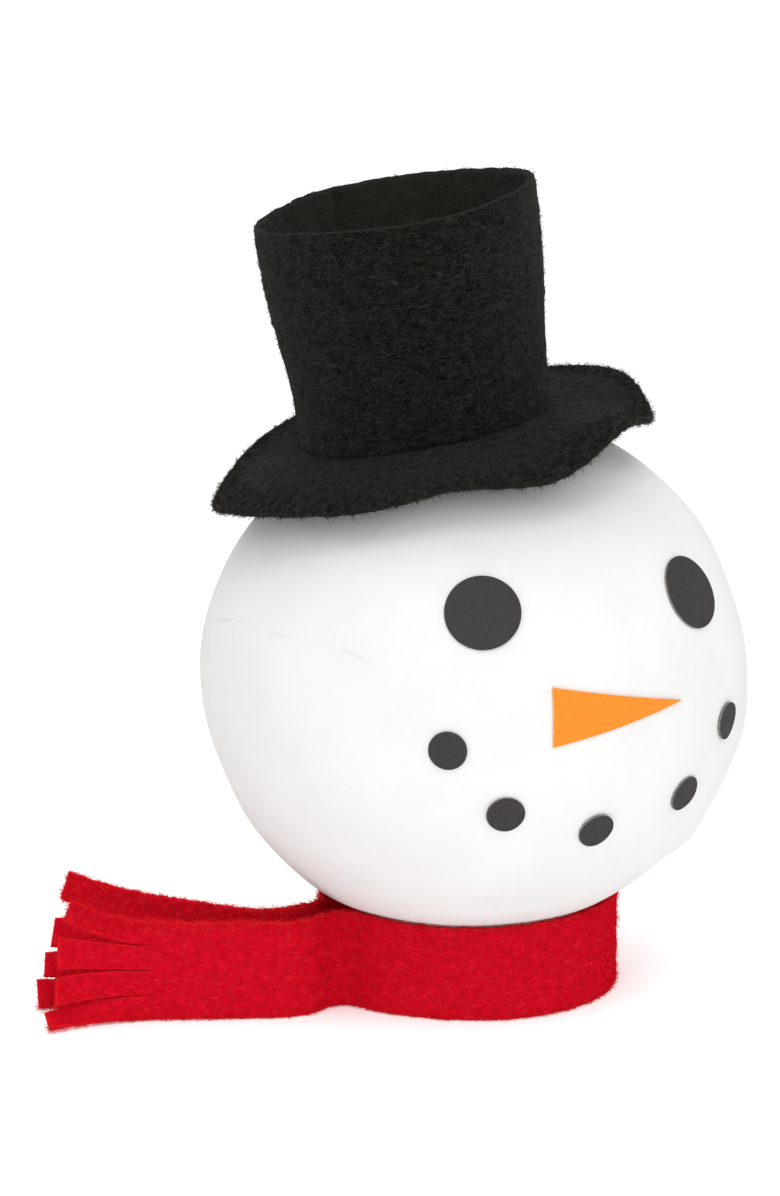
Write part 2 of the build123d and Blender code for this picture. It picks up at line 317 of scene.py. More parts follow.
def crepe_finish(name, white, shade, painted_shadow):
    """Crepe strip: faint ridges across it, soft mottling, and fine lines of painted shade along a fold and
    along the creases.
    """
    finish = Finish(name, 0.9, Specular_IOR_Level=0.2)
    ridges = finish.noise(finish.place("strip", stretch=(1.6, 0.14, 1.0), warp=0.5), 1.0, detail=3)
    fibre = finish.noise(finish.place(), 2.6, detail=4, roughness=0.7)
    cloud = finish.noise(finish.place(), 0.07, detail=3)
    tone = finish.math("ADD", finish.math("MULTIPLY", ridges, 0.3), finish.math("MULTIPLY", cloud, 0.7))
    paper = finish.mix(finish.between(tone, 0.36, 0.6), shade, white)
    fold = finish.parts("fold")
    # Painted shade: a thin dark line along the fold and along each crease, where their shadow falls on the
    # paper
    from_fold = finish.math("ABSOLUTE", fold["X"], 0.0)
    on_fold = finish.math("SUBTRACT", 1.0, finish.between(from_fold, *FOLD_SHADE_WIDTH))
    fold_shade = finish.math("MULTIPLY", finish.math("MULTIPLY", on_fold, fold["Y"]), PAINTED_FOLD_SHADE)
    crease_shade = finish.math("MULTIPLY", fold["Z"], PAINTED_CREASE_SHADE)
    finish.colour(finish.mix(finish.math("MAXIMUM", fold_shade, crease_shade), paper, painted_shadow))
    finish.bump(finish.math("ADD", ridges, finish.math("MULTIPLY", fibre, 0.5)), 0.03)
    return finish.material


def grained_finish(name, dark, light, grain, roughness, depth, stretch=(1, 1, 1), **sockets):
    """Two tones mixed by one grain that also stands a little proud."""
    finish = Finish(name, roughness, **sockets)
    pattern = finish.noise(finish.place(stretch=stretch, warp=0.4), grain, detail=5, roughness=0.6)
    finish.colour(finish.mix(finish.between(pattern, 0.35, 0.65), dark, light))
    finish.bump(pattern, depth)
    return finish.material


# The last colour is the painted shadow of the fold and of the creases
WHITE_CREPE = crepe_finish("white_crepe", (0.725, 0.73, 0.72), (0.70, 0.705, 0.70), (0.38, 0.38, 0.37))
BLACK_CARD = grained_finish(
    "black_card", (0.034, 0.032, 0.030), (0.044, 0.041, 0.039), 2.4, 0.75, 0.02, Specular_IOR_Level=0.15
)
CARD_EDGE = grained_finish("card_edge", (0.11, 0.105, 0.095), (0.24, 0.23, 0.21), 3.0, 0.9, 0.02)
ORANGE_PAPER = grained_finish(
    "orange_paper", (0.96, 0.215, 0.017), (1.0, 0.250, 0.023), 2.0, 0.7, 0.015, Specular_IOR_Level=0.15
)
ORANGE_EDGE = grained_finish("orange_edge", (0.80, 0.30, 0.10), (0.95, 0.45, 0.20), 3.0, 0.8, 0.015)
# The lighter cut-edge colour here is a painted highlight, and the paler under side is painted light inside
# the crown
BLACK_FELT = felt_finish(
    "black_felt", deep=(0.0010, 0.0009, 0.0005), body=(0.0068, 0.0064, 0.0046),
    fibre=(0.034, 0.032, 0.025), painted_edge_highlight=(0.013, 0.011, 0.008), painted_under_light=0.6, depth=0.25,
    Specular_IOR_Level=0.05, Sheen_Weight=0.045, Sheen_Roughness=0.5,
)
BLACK_FIBRE = fibre_finish(
    "black_fibre", (0.006, 0.0055, 0.0045), (0.060, 0.056, 0.045), Specular_IOR_Level=0.1
)
# The lighter cut-edge colour here is a painted highlight along the felt's lit edges
RED_FELT = felt_finish(
    "red_felt", deep=(0.46, 0.0018, 0.010), body=(0.58, 0.0030, 0.015), fibre=(0.74, 0.016, 0.032),
    painted_edge_highlight=(0.68, 0.011, 0.018), painted_under_light=0.0, depth=0.14, Specular_IOR_Level=0.0,
)
RED_FIBRE = fibre_finish("red_fibre", (0.74, 0.007, 0.020), (0.90, 0.030, 0.040), Specular_IOR_Level=0.0)
PALE_FLOOR = grained_finish(
    "pale_floor", (0.94, 0.94, 0.94), (0.95, 0.95, 0.95), 2.0, 0.9, 0.002,
    Specular_IOR_Level=0.0, Emission_Color=(1.0, 1.0, 1.0, 1.0), Emission_Strength=0.22,
)

# CAD nodes that keep their own shape, and what each is made of
CARRIED_OVER = {
    ("crepe_middle_wrap", "crepe_inner_wrap"): grained_finish(
        "inner_crepe", (0.74, 0.75, 0.76), (0.86, 0.87, 0.88), 1.2, 0.85, 0.15, stretch=(1, 0.2, 1)
    ),
    ("crown_glue_ring", "scarf_glue_bead"): grained_finish(
        "hot_glue", (0.72, 0.68, 0.58), (0.80, 0.78, 0.70), 0.8, 0.35, 0.05
    ),
    ("core_ball",): grained_finish(
        "core_wood", (0.42, 0.27, 0.14), (0.66, 0.48, 0.29), 1.0, 0.6, 0.05, stretch=(1, 1, 0.08)
    ),
    ("spinning_top",): grained_finish(
        "top_wood", (0.55, 0.06, 0.04), (0.70, 0.12, 0.08), 1.0, 0.4, 0.03, stretch=(1, 0.1, 1)
    ),
    ("toy_ring",): grained_finish(
        "ring_plastic", (0.74, 0.56, 0.12), (0.82, 0.65, 0.18), 3.0, 0.25, 0.01
    ),
    ("toy_die",): grained_finish("die_plastic", (0.80, 0.80, 0.77), (0.86, 0.86, 0.83), 3.0, 0.25, 0.01),
    ("glass_gem",): grained_finish(
        "gem_glass", (0.30, 0.60, 0.82), (0.38, 0.68, 0.88), 0.5, 0.03, 0.005,
        Transmission_Weight=1.0, IOR=1.52,
    ),
    ("paper_scroll",): grained_finish(
        "scroll_paper", (0.78, 0.72, 0.58), (0.86, 0.81, 0.67), 1.5, 0.85, 0.02, stretch=(1, 1, 0.3)
    ),
}
for node_names, material in CARRIED_OVER.items():
    for node_name in node_names:
        for material_slot in frame["nodes"][node_name].material_slots:
            material_slot.material = material

# ---- The ball ----

# Where the winding stands proud of its oval, or lies flat: a way out of the ball's centre, a height in
# millimetres, and a spread in degrees
BALL_BUMPS = (
    ((0.83, -0.51, -0.20), 0.6, 9.0),
    ((0.57, -0.49, -0.66), 1.5, 11.0),
    ((-0.72, 0.23, -0.65), -0.2, 10.0),
    ((-0.85, 0.37, -0.38), -0.9, 11.0),
    ((-0.88, 0.47, -0.07), -0.4, 10.0),
    ((0.75, -0.25, 0.61), -0.6, 11.0),
    ((0.86, -0.39, 0.32), -1.3, 12.0),
    ((-0.99, -0.15, 0.04), -0.2, 4.0),
)
PAPER_WAVE = 0.16
# The hat and the scarf press the paper even, from the first height to the second in shares of the radius,
# and leave this much of its swellings and of the strips' relief
PRESSED_FROM, PRESSED_TO = 0.70, 0.78
SWELLINGS_LEFT, RELIEF_LEFT = 0.04, 0.2

STRIP_COUNT = 22
STRIP_THICKNESS = 0.13
STRIP_EDGE = 0.03
STRIP_WAVER = 0.006
# How much of the relief below it a strip hides
STRIP_HIDES = 0.55
# The last strip's pole, the height of its lower edge along that, and its width, on a ball of radius one
LAST_STRIP = ((0.55, 0.12, 0.83), -0.286, 0.62)
# The part of the last strip's lower edge that gets a painted shade line for its fold
FOLD_START, FOLD_END = (-0.925, 0.306, 0.227), (-0.759, -0.604, 0.243)
CREASE_COUNT = 34
CREASE_WIDTH = 0.012
CREASE_HEIGHT = 0.12
FRONT_CREASE = ((0.09, -0.87, -0.48), (0.14, -0.79, -0.60))
# Squares along each side of the cube that the ball's mesh is made from
BALL_GRID = 124


def make_strips():
    """Each strip of the winding, as LAST_STRIP states the outermost."""
    draw = np.random.default_rng(23)
    poles = unit(draw.normal(size=(STRIP_COUNT, 3)))
    starts = draw.uniform(-0.6, 0.15, STRIP_COUNT)
    widths = draw.uniform(0.5, 0.68, STRIP_COUNT)
    return [*zip(poles, starts, widths), (unit(LAST_STRIP[0]), *LAST_STRIP[1:])]


def make_creases():
    """Small puckers of the strips, as pairs of ends on a unit ball, with a height in millimetres."""
    draw = np.random.default_rng(41)
    starts = unit(draw.normal(size=(CREASE_COUNT, 3)))
    ends = unit(starts + draw.normal(size=(CREASE_COUNT, 3)) * 0.09)
    heights = draw.uniform(0.03, 0.10, CREASE_COUNT)
    return [*zip(starts, ends, heights), (*unit(FRONT_CREASE), CREASE_HEIGHT)]


STRIPS = make_strips()
CREASES = make_creases()


def strip_heights(ways):
    """How far the strips stand up, and which strip is the outermost, for ways out of the ball."""
    height = np.zeros(len(ways))
    outermost = np.full(len(ways), -1)
    for number, (pole, start, width) in enumerate(STRIPS):
        along = ways @ pole + STRIP_WAVER * ripple(ways, 0.35, 100 + number, waves=6)
        cover = smooth_step(along, start, start + STRIP_EDGE)
        cover *= 1 - smooth_step(along, start + width - STRIP_EDGE, start + width)
        height = height * (1 - STRIP_HIDES * cover) + STRIP_THICKNESS * cover
        outermost[cover > 0.5] = number
    return height, outermost


def crease_heights(ways):
    """How far the creases stand up, in millimetres."""
    height = np.zeros(len(ways))
    for start, end, lift in CREASES:
        run = end - start
        t = np.clip((ways - start) @ run / (run @ run), 0, 1)
        away = np.linalg.norm(ways - start - t[:, None] * run, axis=1)
        fade = np.sin(pi * np.clip(t, 0.02, 0.98))
        height += lift * fade * np.exp(-((away / CREASE_WIDTH) ** 2))
    return height


def fold_shade_lines(ways):
    """Millimetres from the last strip's edge, how strongly the fold's painted shade shows there, and the
    creases' height, which sets their painted shade.
    """
    pole, start, _ = STRIPS[-1]
    away = (ways @ pole - start) * BALL_RADIUS + 0.25 * ripple(ways, 0.5, 7, waves=6)
    first, run = unit(FOLD_START), unit(FOLD_END) - unit(FOLD_START)
    t = (ways - first) @ run / (run @ run)
    along_it = smooth_step(t, -0.08, 0.1) * (1 - smooth_step(t, 0.9, 1.05))
    shows = along_it * np.abs(ripple(ways, 0.25, 8, waves=6))
    on_side = ways @ first > 0
    creases = crease_heights(ways) / CREASE_HEIGHT
    return np.stack([away, np.clip(shows, 0, 1) * on_side, creases], axis=-1)


def oval_radius(ways, depth=0.0):
    """From the ball's centre to a smooth oval, a depth below its outside."""
    up = ways @ HEAD_UP
    wide, tall = BALL_RADIUS - depth, BALL_HALF_HEIGHT - depth
    return 1 / np.sqrt((1 - up**2) / wide**2 + up**2 / tall**2)


def ball_radius(ways):
    """From the ball's centre to the paper, for unit vectors."""
    swelling = PAPER_WAVE * ripple(ways, 0.55, 5)
    for way, height, spread in BALL_BUMPS:
        turn = np.degrees(np.arccos(np.clip(ways @ unit(way), -1, 1)))
        swelling += height * np.exp(-((turn / spread) ** 2))
    relief = strip_heights(ways)[0] + crease_heights(ways) - STRIP_THICKNESS
    free = 1 - smooth_step(np.abs(ways @ HEAD_UP), PRESSED_FROM, PRESSED_TO)
    swelling *= SWELLINGS_LEFT + (1 - SWELLINGS_LEFT) * free
    relief *= RELIEF_LEFT + (1 - RELIEF_LEFT) * free
    return oval_radius(ways) + swelling + relief


def cube_ball(count):
    """Unit vectors of an evenly divided ball, and its four-sided faces."""
    steps = np.tan(np.linspace(-pi / 4, pi / 4, count + 1))
    a, b = np.meshgrid(steps, steps, indexing="ij")
    one = np.ones_like(a)
    sides = [(one, a, b), (-one, b, a), (a, -one, b), (b, one, a), (b, a, one), (a, b, -one)]
    ways, faces = [], []
    corner = np.arange((count + 1) ** 2).reshape(count + 1, count + 1)
    for number, side in enumerate(sides):
        ways.append(np.stack(side, axis=-1).reshape(-1, 3))
        place = corner + number * corner.size
        quads = (place[:-1, :-1], place[1:, :-1], place[1:, 1:], place[:-1, 1:])
        faces.append(np.stack([q.ravel() for q in quads], axis=-1))
    ways, faces = np.concatenate(ways), np.concatenate(faces)
    _, first, same = np.unique(np.round(ways, 6), axis=0, return_index=True, return_inverse=True)
    return unit(ways[first]), same.ravel()[faces]


def make_ball():
    """The outermost wrap of crepe paper, as a shell."""
    outer_ways, faces = cube_ball(BALL_GRID)
    outside = BALL_CENTRE + outer_ways * ball_radius(outer_ways)[:, None]
    coarse_ways, coarse_faces = cube_ball(BALL_GRID // 4)
    inside = BALL_CENTRE + coarse_ways * oval_radius(coarse_ways, OUTER_WRAP)[:, None]
    points = np.concatenate([outside, inside])
    every_face = [*faces, *(coarse_faces[:, ::-1] + len(outside))]
    ball = mesh_object("crepe_ball", points, every_face, WHITE_CREPE)
    # Along and across its own strip, for each face, so that the ridges don't run over an edge
    corners = np.array(every_face)
    _, outermost = strip_heights(unit(points[corners].mean(axis=1) - BALL_CENTRE))
    poles = np.array([pole for pole, _, _ in STRIPS])[outermost][:, None]
    sides = unit(np.cross(poles, (0.3, 0.5, 0.8)))
    ways = unit(points[corners] - BALL_CENTRE)
    around = np.arctan2((ways * np.cross(poles, sides)).sum(-1), (ways * sides).sum(-1))
    across = (ways * poles).sum(-1)
    apart = np.broadcast_to(40.0 * outermost[:, None], across.shape)
    on_strip = np.stack([around * BALL_RADIUS, across * BALL_RADIUS, apart], axis=-1)
    set_vectors(ball, "strip", on_strip, "CORNER")
    used = np.unique(corners)
    # Where the painted shade of the fold and of the creases goes
    set_vectors(ball, "fold", fold_shade_lines(unit(points[used] - BALL_CENTRE)))
    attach(ball, "head")
    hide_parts("crepe_outer_wrap")


make_ball()

# ---- The face ----

EYE_RADIUS = 6.35
DOT_RADIUS = 3.175
# The snowman's own right eye is on the left of its face
FACE_DISCS = {"right_eye": EYE_RADIUS, "left_eye": EYE_RADIUS}
FACE_DISCS.update({f"mouth_dot_{number}": DOT_RADIUS for number in range(1, 6)})
GLUE_LINE = 0.06
# How far down, and how far in as a share of its size, a card's cut edge is rounded
CARD_ROUNDING = 0.05
CARD_CORNER = 0.006


def on_paper(places, lift):
    """Places near the ball brought onto its paper, and lifted off it."""
    ways = unit(places - BALL_CENTRE)
    return BALL_CENTRE + ways * (ball_radius(ways) + lift)[:, None]


def card_piece(name, rings, curl, face_material, edge_material):
    """A piece of card from rings of places round its middle, innermost first, pressed onto the paper.

    The outermost ring is the cut edge; curl is how far each ring lifts off the paper.
    """
    count = len(rings[0])
    rows = [rings[0].mean(axis=0, keepdims=True).repeat(count, axis=0), *rings]
    lifts = [curl[0], *curl]
    layers = [on_paper(row, GLUE_LINE + lift) for row, lift in zip(rows, lifts)]
    layers.append(on_paper(rows[-1], GLUE_LINE + lifts[-1] + CARD - CARD_ROUNDING))
    top_rows = rows[:-1] + [rows[-1] + (rows[0] - rows[-1]) * CARD_CORNER]
    for row, lift in reversed(list(zip(top_rows, lifts))):
        layers.append(on_paper(row, GLUE_LINE + lift + CARD))
    points = np.concatenate(layers)
    place = np.arange(len(points)).reshape(len(layers), count)
    place[0], place[-1] = place[0, 0], place[-1, 0]
    after = np.roll(place, -1, axis=1)
    faces, edge = [], []
    for k in range(len(layers) - 1):
        faces += list(np.stack([place[k], after[k], after[k + 1], place[k + 1]], axis=-1))
        edge += [len(rows) - 1 <= k <= len(rows)] * count
    card = mesh_object(name, points, faces, face_material)
    card.data.materials.append(edge_material)
    for polygon, on_edge in zip(card.data.polygons, edge):
        polygon.material_index = int(on_edge)
    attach(card, "head")
    return card


DISC_RINGS = (0.2, 0.4, 0.6, 0.75, 0.88, 0.96, 1.0)
DISC_CURL, DISC_CURL_MOST = 0.09, 0.2


def punched_disc(node, radius, seed):
    """A punched disc of black card over its CAD node."""
    middle = middle_mm(node)
    out = unit(middle - BALL_CENTRE)
    side = unit(np.cross((0, 0, 1), out))
    up = np.cross(out, side)
    turns = np.linspace(0, 2 * pi, 97)[:-1]
    ring = np.outer(np.cos(turns), side) + np.outer(np.sin(turns), up)
    touch = BALL_CENTRE + out * BALL_RADIUS
    rings = [touch + ring * radius * share for share in DISC_RINGS]
    loose = np.clip(DISC_CURL * (1 + ripple(ring * 3, 9.0, seed)), 0, DISC_CURL_MOST)
    curl = [loose * share**4 for share in DISC_RINGS]
    card = card_piece(f"{node}_card", rings, curl, BLACK_CARD, CARD_EDGE)
    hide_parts(node)


for seed, (node_name, disc_radius) in enumerate(FACE_DISCS.items()):
    punched_disc(node_name, disc_radius, 60 + seed)

# Across the front of the ball and up it, from its centre
NOSE_CORNERS = ((-11.3, 8.3), (-11.5, -1.5), (13.3, 3.3))
NOSE_SIDE_POINTS = 40
NOSE_RINGS = (0.15, 0.3, 0.45, 0.6, 0.75, 0.87, 0.95, 1.0)
# How far its edge lifts off, how much more its tip does, and where across the ball the tip is
NOSE_CURL, TIP_CURL = 0.05, 0.10
TIP_FROM, TIP_TO = 4.0, 13.0


def make_nose():
    """The cut triangle of orange paper, pressed round the ball, its long sides a little loose."""
    corners = np.array(NOSE_CORNERS, float)
    middle = corners.mean(axis=0)
    shares = np.linspace(0, 1, NOSE_SIDE_POINTS, endpoint=False)[:, None]
    sides = zip(corners, np.roll(corners, -1, axis=0))
    outline = np.concatenate([first + (second - first) * shares for first, second in sides])
    rings = []
    for share in NOSE_RINGS:
        flat = middle + (outline - middle) * share
        depth = np.sqrt(BALL_RADIUS**2 - flat[:, 0] ** 2 - flat[:, 1] ** 2)
        rings.append(BALL_CENTRE + np.stack([flat[:, 0], -depth, flat[:, 1]], axis=-1))
    loose = NOSE_CURL + TIP_CURL * smooth_step(outline[:, 0], TIP_FROM, TIP_TO)
    curl = [loose * share**3 for share in NOSE_RINGS]
    card = card_piece("nose_triangle", rings, curl, ORANGE_PAPER, ORANGE_EDGE)
    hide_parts("nose")


make_nose()

# ---- Felt ----

FELT_STEP = 0.5
EDGE_STEPS = (0.0, 0.05, 0.18, 0.42)
# How deep the rounding of a cut edge goes
EDGE_DEPTH = 0.42 * FELT
# Over this distance a surface's slope is measured
SLOPE_STEP = 0.05


def spaced(length, step, fine_start=True, fine_end=True):
    """Distances from 0 to length, about a step apart, and finer at the edges that are rounded."""
    low = list(EDGE_STEPS) if fine_start else [0.0]
    high = [length - e for e in reversed(EDGE_STEPS)] if fine_end else [length]
    count = max(2, int(round((high[0] - low[-1]) / step)))
    return np.array(low + list(np.linspace(low[-1], high[0], count + 1)[1:-1]) + high)


def rounded(distance):
    """How much of the felt's half thickness there is at a distance from a cut edge, from 0 to 1."""
    return np.sqrt(1 - (1 - np.clip(distance / EDGE_DEPTH, 0, 1)) ** 2)


def surface_normals(surface, along, across):
    """Unit normals of a surface given as a function of two distances."""
    run = surface(along + SLOPE_STEP, across) - surface(along - SLOPE_STEP, across)
    rise = surface(along, across + SLOPE_STEP) - surface(along, across - SLOPE_STEP)
    return unit(np.cross(run, rise))


class Felt:
    """A cut of felt on a grid: the middle of the cloth, and how thick it is at each place.

    Columns of the grid may share their points, where the grid closes or where a slit hasn't begun.
    """

    def __init__(self, middle, normals, fullness, along, across, seed):
        self.rows, self.columns = fullness.shape
        size = self.rows * self.columns
        half = fullness * FELT / 2
        lumps = [
            0.05 * ripple(middle, 3.4, seed + side) + 0.04 * ripple(middle, 1.6, seed + 10 + side)
            for side in (0, 1)
        ]
        over = middle + normals * (half + lumps[0] * fullness)[..., None]
        under = middle - normals * (half + lumps[1] * fullness)[..., None]
        self.points = np.concatenate([over.reshape(-1, 3), under.reshape(-1, 3)])
        lay = np.stack([along, across, np.zeros_like(along)], axis=-1).reshape(-1, 3)
        self.lay = np.concatenate([lay, lay + UNDER_SIDE])
        self.over = np.arange(size).reshape(self.rows, self.columns)
        self.under = self.over + size
        edge = fullness == 0
        self.under[edge] = self.over[edge]
        self.fullness = np.tile(fullness.ravel(), 2)
        self.faces = []

    def join(self, rows, kept, dropped):
        """Over some rows, one column's points stand for another's."""
        for side in (self.over, self.under):
            side[rows, dropped] = side[rows, kept]

    def skin(self, slits=()):
        """Faces over and under, but not in the slits."""
        kept = [c for c in range(self.columns - 1) if c not in slits]
        beside = [c + 1 for c in kept]
        for side, turned in ((self.over, False), (self.under, True)):
            corners = side[:-1, kept], side[1:, kept], side[1:, beside], side[:-1, beside]
            quads = np.stack([c.ravel() for c in corners], axis=-1)
            self.faces += list(quads[:, ::-1] if turned else quads)

    def cap(self):
        """The flat first end of a piece that goes on in another one."""
        over, under = self.over[0], self.under[0]
        for c in range(self.columns - 1):
            self.faces.append((over[c], over[c + 1], under[c + 1], under[c]))

    def slit_root(self, row, column):
        """The inner end of a slit between a column and the next."""
        top, bottom = self.over[row, column], self.under[row, column]
        self.faces.append((top, bottom, self.over[row + 1, column]))
        self.faces.append((bottom, top, self.over[row + 1, column + 1]))

    def make(self, name, material):
        """The piece, which keeps where on the cloth each point is, and how full the cloth is there."""
        felt = mesh_object(name, self.points, self.faces, material)
        used = np.unique(np.concatenate([f for f in self.faces if len(set(f)) > 2]))
        set_vectors(felt, "felt", self.lay[used])
        set_vectors(felt, "cut", np.repeat(self.fullness[used, None], 3, axis=1))
        return felt


FIBRE_COUNT = 19500
FIBRE_THICKNESS = 0.11
# The degrees that it stands off the cloth, how deep its root is, and how low its points may come
FIBRE_STAND = (4.0, 65.0)
FIBRE_ROOT = 0.06
FIBRE_LOWEST = 0.02
# How strong the comb is, and how far a tip bends off in shares of the fibre's length
FIBRE_COMBED = 1.6
FIBRE_BEND = 0.55
BRIM_FUZZ, CROWN_FUZZ, SCARF_FUZZ = 1.8, 1.5, 1.7
# Their weight on the cloth, how much more it is at a cut edge, and where it rises on the way there
RIM_WEIGHT, RIM_ZONE = (0.45, 3.5), (0.85, 0.95)
STRIP_WEIGHT, STRIP_ZONE = (0.6, 3.0), (0.82, 0.94)


def fuzz(felt, name, reach, material, seed, comb=(0.0, 0.0, 0.0), weight=None):
    """Loose fibres on a piece of felt: thin curved spikes that lie on it and stand off it a little.

    More of them lie across the comb, a vector, and where the weight, a function of places, is greater.
    """
    count = FIBRE_COUNT
    draw = np.random.default_rng(seed)
    mesh = felt.data
    mesh.calc_loop_triangles()
    corners = np.empty(len(mesh.loop_triangles) * 3, int)
    mesh.loop_triangles.foreach_get("vertices", corners)
    places = np.empty(len(mesh.vertices) * 3)
    mesh.vertices.foreach_get("co", places)
    places = places.reshape(-1, 3) / MM
    a, b, c = (places[corners.reshape(-1, 3)[:, k]] for k in range(3))
    crosses = np.cross(b - a, c - a)
    areas = np.linalg.norm(crosses, axis=1)
    if weight:
        areas = areas * weight((a + b + c) / 3)
    picked = draw.choice(len(areas), count, p=areas / areas.sum())
    u, v = draw.random((2, count, 1))
    u, v = np.where(u + v > 1, 1 - u, u), np.where(u + v > 1, 1 - v, v)
    start = a[picked] + u * (b - a)[picked] + v * (c - a)[picked]
    out = unit(crosses[picked])
    combed = FIBRE_COMBED * np.cross(out, comb)
    side = draw.normal(size=(count, 3)) + draw.choice((-1, 1), (count, 1)) * combed
    side = unit(side - (side * out).sum(axis=1, keepdims=True) * out)
    lift = np.radians(draw.uniform(*FIBRE_STAND, count))[:, None]
    way = side * np.cos(lift) + out * np.sin(lift)
    bend = np.cross(out, way) * draw.normal(0, 0.5, (count, 1)) - out * draw.uniform(0.1, 0.6, (count, 1))
    length = (reach * draw.uniform(0.35, 1.0, count) ** 1.5)[:, None]
    start = start - out * FIBRE_ROOT
    rings = []
    for share, thin in ((0.0, 1.0), (0.5, 0.8)):
        middle = start + way * length * share + bend * length * share**2 * FIBRE_BEND
        for turn in (0, 2 * pi / 3, 4 * pi / 3):
            around = out * np.cos(turn) + np.cross(way, out) * np.sin(turn)
            rings.append(middle + around * FIBRE_THICKNESS / 2 * thin)
    rings.append(start + way * length + bend * length * FIBRE_BEND)
    points = np.stack(rings, axis=1)
    points[..., 2] = np.maximum(points[..., 2], FIBRE_LOWEST)
    # Two rings of three points, then the tip
    sides = [(0, 1, 4, 3), (1, 2, 5, 4), (2, 0, 3, 5)]
    ends = [(3, 4, 6), (4, 5, 6), (5, 3, 6), (2, 1, 0)]
    base = np.arange(count)[:, None] * points.shape[1]
    faces = [f.tolist() for corners in sides + ends for f in base + np.array(corners)]
    return linked_mesh(name, points.reshape(-1, 3), faces, material)


# ---- The hat ----

BRIM_RADIUS = 37.7
# The height of its upper face over the ball's centre, and the radius of the dome that it is drawn into
BRIM_TOP = 46.1
BRIM_DOME = 130.0
BRIM_STEP = 0.62
CUT_RIPPLE = 0.002
# Degrees round the hat from its right side, towards the back, with the radius that the disc was cut to, and
# the height of its edge over the ball's centre
BRIM_CUT = {0: 36.8, 45: 38.6, 90: 37.4, 135: 37.4, 180: 39.0, 225: 37.2, 270: 36.8, 315: 39.6}
BRIM_EDGE = {
    0: 40.1, 20: 43.2, 45: 44.2, 80: 44.0, 120: 44.2, 150: 40.8, 175: 37.4, 195: 38.1,
    235: 38.4, 255: 38.8, 275: 40.7, 300: 39.7, 322: 43.5, 342: 41.8,
}
# Inside this radius the crown keeps the brim in shape
BRIM_STIFF_RADIUS = 20.0

CROWN_FOOT = BALL_CENTRE + np.array((-7.9, 3.5, 42.6))
CROWN_LEAN, CROWN_TOWARDS = radians(7.3), radians(159.0)
CROWN_UP = np.array(
    (sin(CROWN_LEAN) * cos(CROWN_TOWARDS), sin(CROWN_LEAN) * sin(CROWN_TOWARDS), cos(CROWN_LEAN))
)
CROWN_RIGHT = unit(np.cross(np.cross(CROWN_UP, HAT_RIGHT), CROWN_UP))
CROWN_BACK = np.cross(CROWN_UP, CROWN_RIGHT)
CROWN_HEIGHT = 39.0
CROWN_HEIGHTS = (0.0, 9.5, 19.5, 31.0, 39.0)
CROWN_RADII = (21.7, 21.9, 22.8, 23.7, 23.9)
CROWN_STEP = 0.55
RIM_TILT, RIM_TILT_TOWARDS = 1.25, radians(15.0)
RIM_RISE, RIM_WAVE = 0.15, 0.25
SEAM_ANGLE = 118.0
SEAM_LAP = 7.0
# The outer end steps over the inner one, from this far before the lap
SEAM_STEP = 5.0
CROWN_GIRTH = 2 * pi * 23.0


def brim_height(radius, angle):
    """The brim's upper face over the ball's centre: a dome, bent to the waves of its edge."""

    def dome(at):
        return BRIM_TOP - BRIM_DOME + np.sqrt(BRIM_DOME**2 - at**2)

    edge = round_trip(list(BRIM_EDGE), BRIM_EDGE.values(), angle)
    share = np.clip((radius - BRIM_STIFF_RADIUS) / (BRIM_RADIUS - BRIM_STIFF_RADIUS), 0, None)
    return dome(radius) + (edge - dome(BRIM_RADIUS)) * share**1.6


def on_head(radius, angle, height):
    """Places from the ball's centre: out along the brim, round the head's axis, and up it."""
    turn = np.radians(angle)[..., None]
    flat = radius[..., None] * (np.cos(turn) * HAT_RIGHT + np.sin(turn) * HAT_BACK)
    return BALL_CENTRE + flat + height[..., None] * HEAD_UP


def on_hat(piece, hairs, node):
    for part in (piece, hairs):
        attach(part, "hat")
    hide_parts(node)


def make_brim():
    """A felt disc, draped over the ball's top, its edge cut by hand."""
    girth = 2 * pi * BRIM_RADIUS
    radii = spaced(BRIM_RADIUS, BRIM_STEP, fine_start=False)
    angles = np.linspace(0, 360, int(girth / 0.6) + 1)
    radius, angle = np.meshgrid(radii, angles, indexing="ij")

    def middle(from_centre, round_it):
        degrees = round_it / BRIM_RADIUS * 180 / pi
        cut = round_trip(list(BRIM_CUT), BRIM_CUT.values(), degrees) / BRIM_RADIUS
        rim = on_head(np.full_like(degrees, BRIM_RADIUS), degrees, degrees * 0)
        cut = cut + CUT_RIPPLE * ripple(rim, 2.2, 3)
        out = np.maximum(from_centre, 0.02) * cut
        return on_head(out, degrees, brim_height(out, degrees) - FELT / 2)

    round_it = np.radians(angle) * BRIM_RADIUS
    points = middle(radius, round_it)
    further, nearer = radius + SLOPE_STEP, np.maximum(radius - SLOPE_STEP, 0.0)
    outwards = middle(further, round_it) - middle(nearer, round_it)
    # Near its middle the disc is flat, and there is too little round it to measure
    sideways = middle(radius, round_it + 0.4) - middle(radius, round_it - 0.4)
    around = np.where(radius[..., None] > 3.0, sideways, np.cross(HEAD_UP, outwards))
    normals = unit(np.cross(outwards, around))
    fullness = rounded(BRIM_RADIUS - radius)
    lay = radius * np.cos(np.radians(angle)), radius * np.sin(np.radians(angle))
    felt = Felt(points, normals, fullness, *lay, seed=70)
    for side in (felt.over, felt.under):
        side[0, :] = side[0, 0]
        side[:, -1] = side[:, 0]
    felt.skin()
    brim = felt.make("brim_felt", BLACK_FELT)

    def near_rim(places):
        out = places - BALL_CENTRE
        flat = np.linalg.norm(out - (out @ HEAD_UP)[:, None] * HEAD_UP, axis=1)
        return RIM_WEIGHT[0] + RIM_WEIGHT[1] * smooth_step(flat, *(s * BRIM_RADIUS for s in RIM_ZONE))

    hairs = fuzz(brim, "brim_fuzz", BRIM_FUZZ, BLACK_FIBRE, 81, weight=near_rim)
    on_hat(brim, hairs, "hat_brim")


